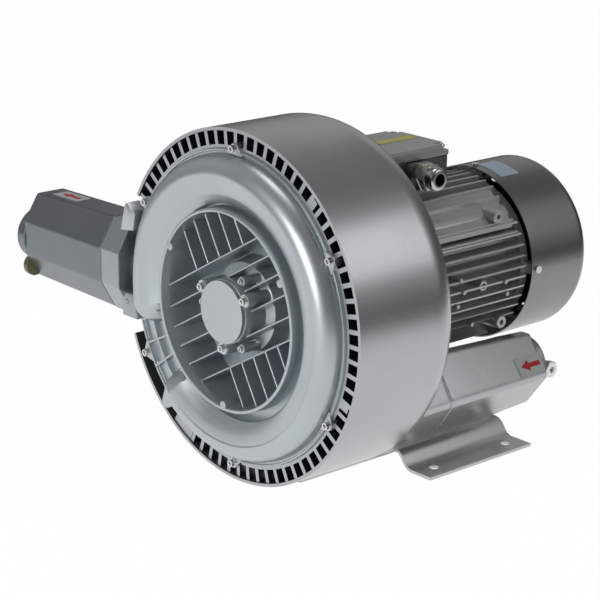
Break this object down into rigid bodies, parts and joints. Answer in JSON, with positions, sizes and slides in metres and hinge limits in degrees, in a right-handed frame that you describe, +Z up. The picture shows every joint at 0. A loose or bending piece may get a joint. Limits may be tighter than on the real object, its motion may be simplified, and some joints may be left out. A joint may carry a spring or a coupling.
{
  "type": "side channel blower",
  "caption": "Two-stage side channel blower: round ribbed cast cover and casing, finned motor with fan cowl and terminal box on one shaft, two port silencers, bent sheet foot.",
  "frame": {"origin": "on the ground, in the middle of the four foot holes, under the shaft", "axes": "+Z up, +Y along the shaft from the ribbed cover to the motor, +X towards the cable gland"},
  "size_m": [0.637, 0.5254, 0.432],
  "materials": {
    "cover_casting": "satin pearl-silver painted die casting",
    "casting": "satin pearl silver-grey painted die casting",
    "motor_casting": "darker metallic grey painted die casting",
    "grey_sheet": "metallic grey painted pressed sheet steel",
    "foot_sheet": "grey painted bent sheet steel",
    "box_casting": "metallic grey painted die casting",
    "zinc": "bright zinc-plated steel",
    "plug_yellow": "olive-yellow passivated steel",
    "plug_zinc": "plated steel",
    "dark_ring": "satin grey casting",
    "steel": "ground steel",
    "cage_steel": "pressed steel",
    "liner_steel": "thin steel tube",
    "lamination": "oiled electrical steel laminations",
    "impeller_aluminium": "bare cast aluminium",
    "copper": "varnished copper wire",
    "brass": "bare brass",
    "black_plastic": "black moulded plastic",
    "gland_plastic": "grey moulded polyamide",
    "rubber": "black rubber"
  },
  "bodies": {
    "blower": {"front_cover": "cover_casting", "bearing_cap": "cover_casting", "shroud": "casting", "middle_housing": "casting", "rear_housing": "casting", "left_neck": "casting", "right_neck": "casting", "left_silencer": "casting", "right_silencer": "casting", "left_port_flange": "casting", "right_port_flange": "casting", "motor_housing": "motor_casting", "rear_end_shield": "motor_casting", "fan_cowl": "grey_sheet", "foot": "foot_sheet", "terminal_box": "box_casting", "terminal_box_lid": "box_casting", "front_cover_screws": "zinc", "bearing_cap_screws": "zinc", "motor_flange_screws": "zinc", "end_shield_bolts": "zinc", "fan_cowl_screws": "zinc", "terminal_box_lid_screws": "zinc", "foot_screws": "zinc", "wave_washer": "zinc", "left_drain_plug": "plug_yellow", "right_drain_plug": "plug_yellow", "gauge_plugs": "plug_zinc", "slotted_ring": "dark_ring", "front_bearing_outer_ring": "steel", "rear_bearing_outer_ring": "steel", "left_silencer_liner": "liner_steel", "right_silencer_liner": "liner_steel", "stator_core": "lamination", "stator_windings": "copper", "terminal_studs": "brass", "terminal_board": "black_plastic", "cable_gland_body": "gland_plastic", "cable_gland_cap": "gland_plastic", "shaft_seals": "rubber", "terminal_box_gasket": "rubber", "cable_gland_seal": "rubber", "left_gasket": "rubber", "right_gasket": "rubber"},
    "rotor": {"shaft": "steel", "front_impeller": "impeller_aluminium", "rear_impeller": "impeller_aluminium", "impeller_keys": "steel", "impeller_sleeve": "steel", "front_bearing_inner_ring": "steel", "rear_bearing_inner_ring": "steel", "rotor_core": "lamination", "rotor_end_rings": "impeller_aluminium", "cooling_fan": "black_plastic", "fan_key": "steel", "circlip": "zinc"},
    "front_cage": {"front_bearing_cage": "cage_steel", "front_bearing_balls": "steel"},
    "rear_cage": {"rear_bearing_cage": "cage_steel", "rear_bearing_balls": "steel"}
  },
  "joints": [
    {"name": "rotor_spin", "type": "hinge", "parent": "blower", "child": "rotor", "pos_m": [0, 0, 0.217], "axis": [0, 1, 0], "continuous": true},
    {"name": "front_cage_spin", "type": "hinge", "parent": "blower", "child": "front_cage", "pos_m": [0, 0, 0.217], "axis": [0, 1, 0], "continuous": true},
    {"name": "rear_cage_spin", "type": "hinge", "parent": "blower", "child": "rear_cage", "pos_m": [0, 0, 0.217], "axis": [0, 1, 0], "continuous": true}
  ],
  "couplings": [
    {"joint": "front_cage_spin", "follows": "rotor_spin", "ratio": 0.37011},
    {"joint": "rear_cage_spin", "follows": "rotor_spin", "ratio": 0.37011}
  ]
}
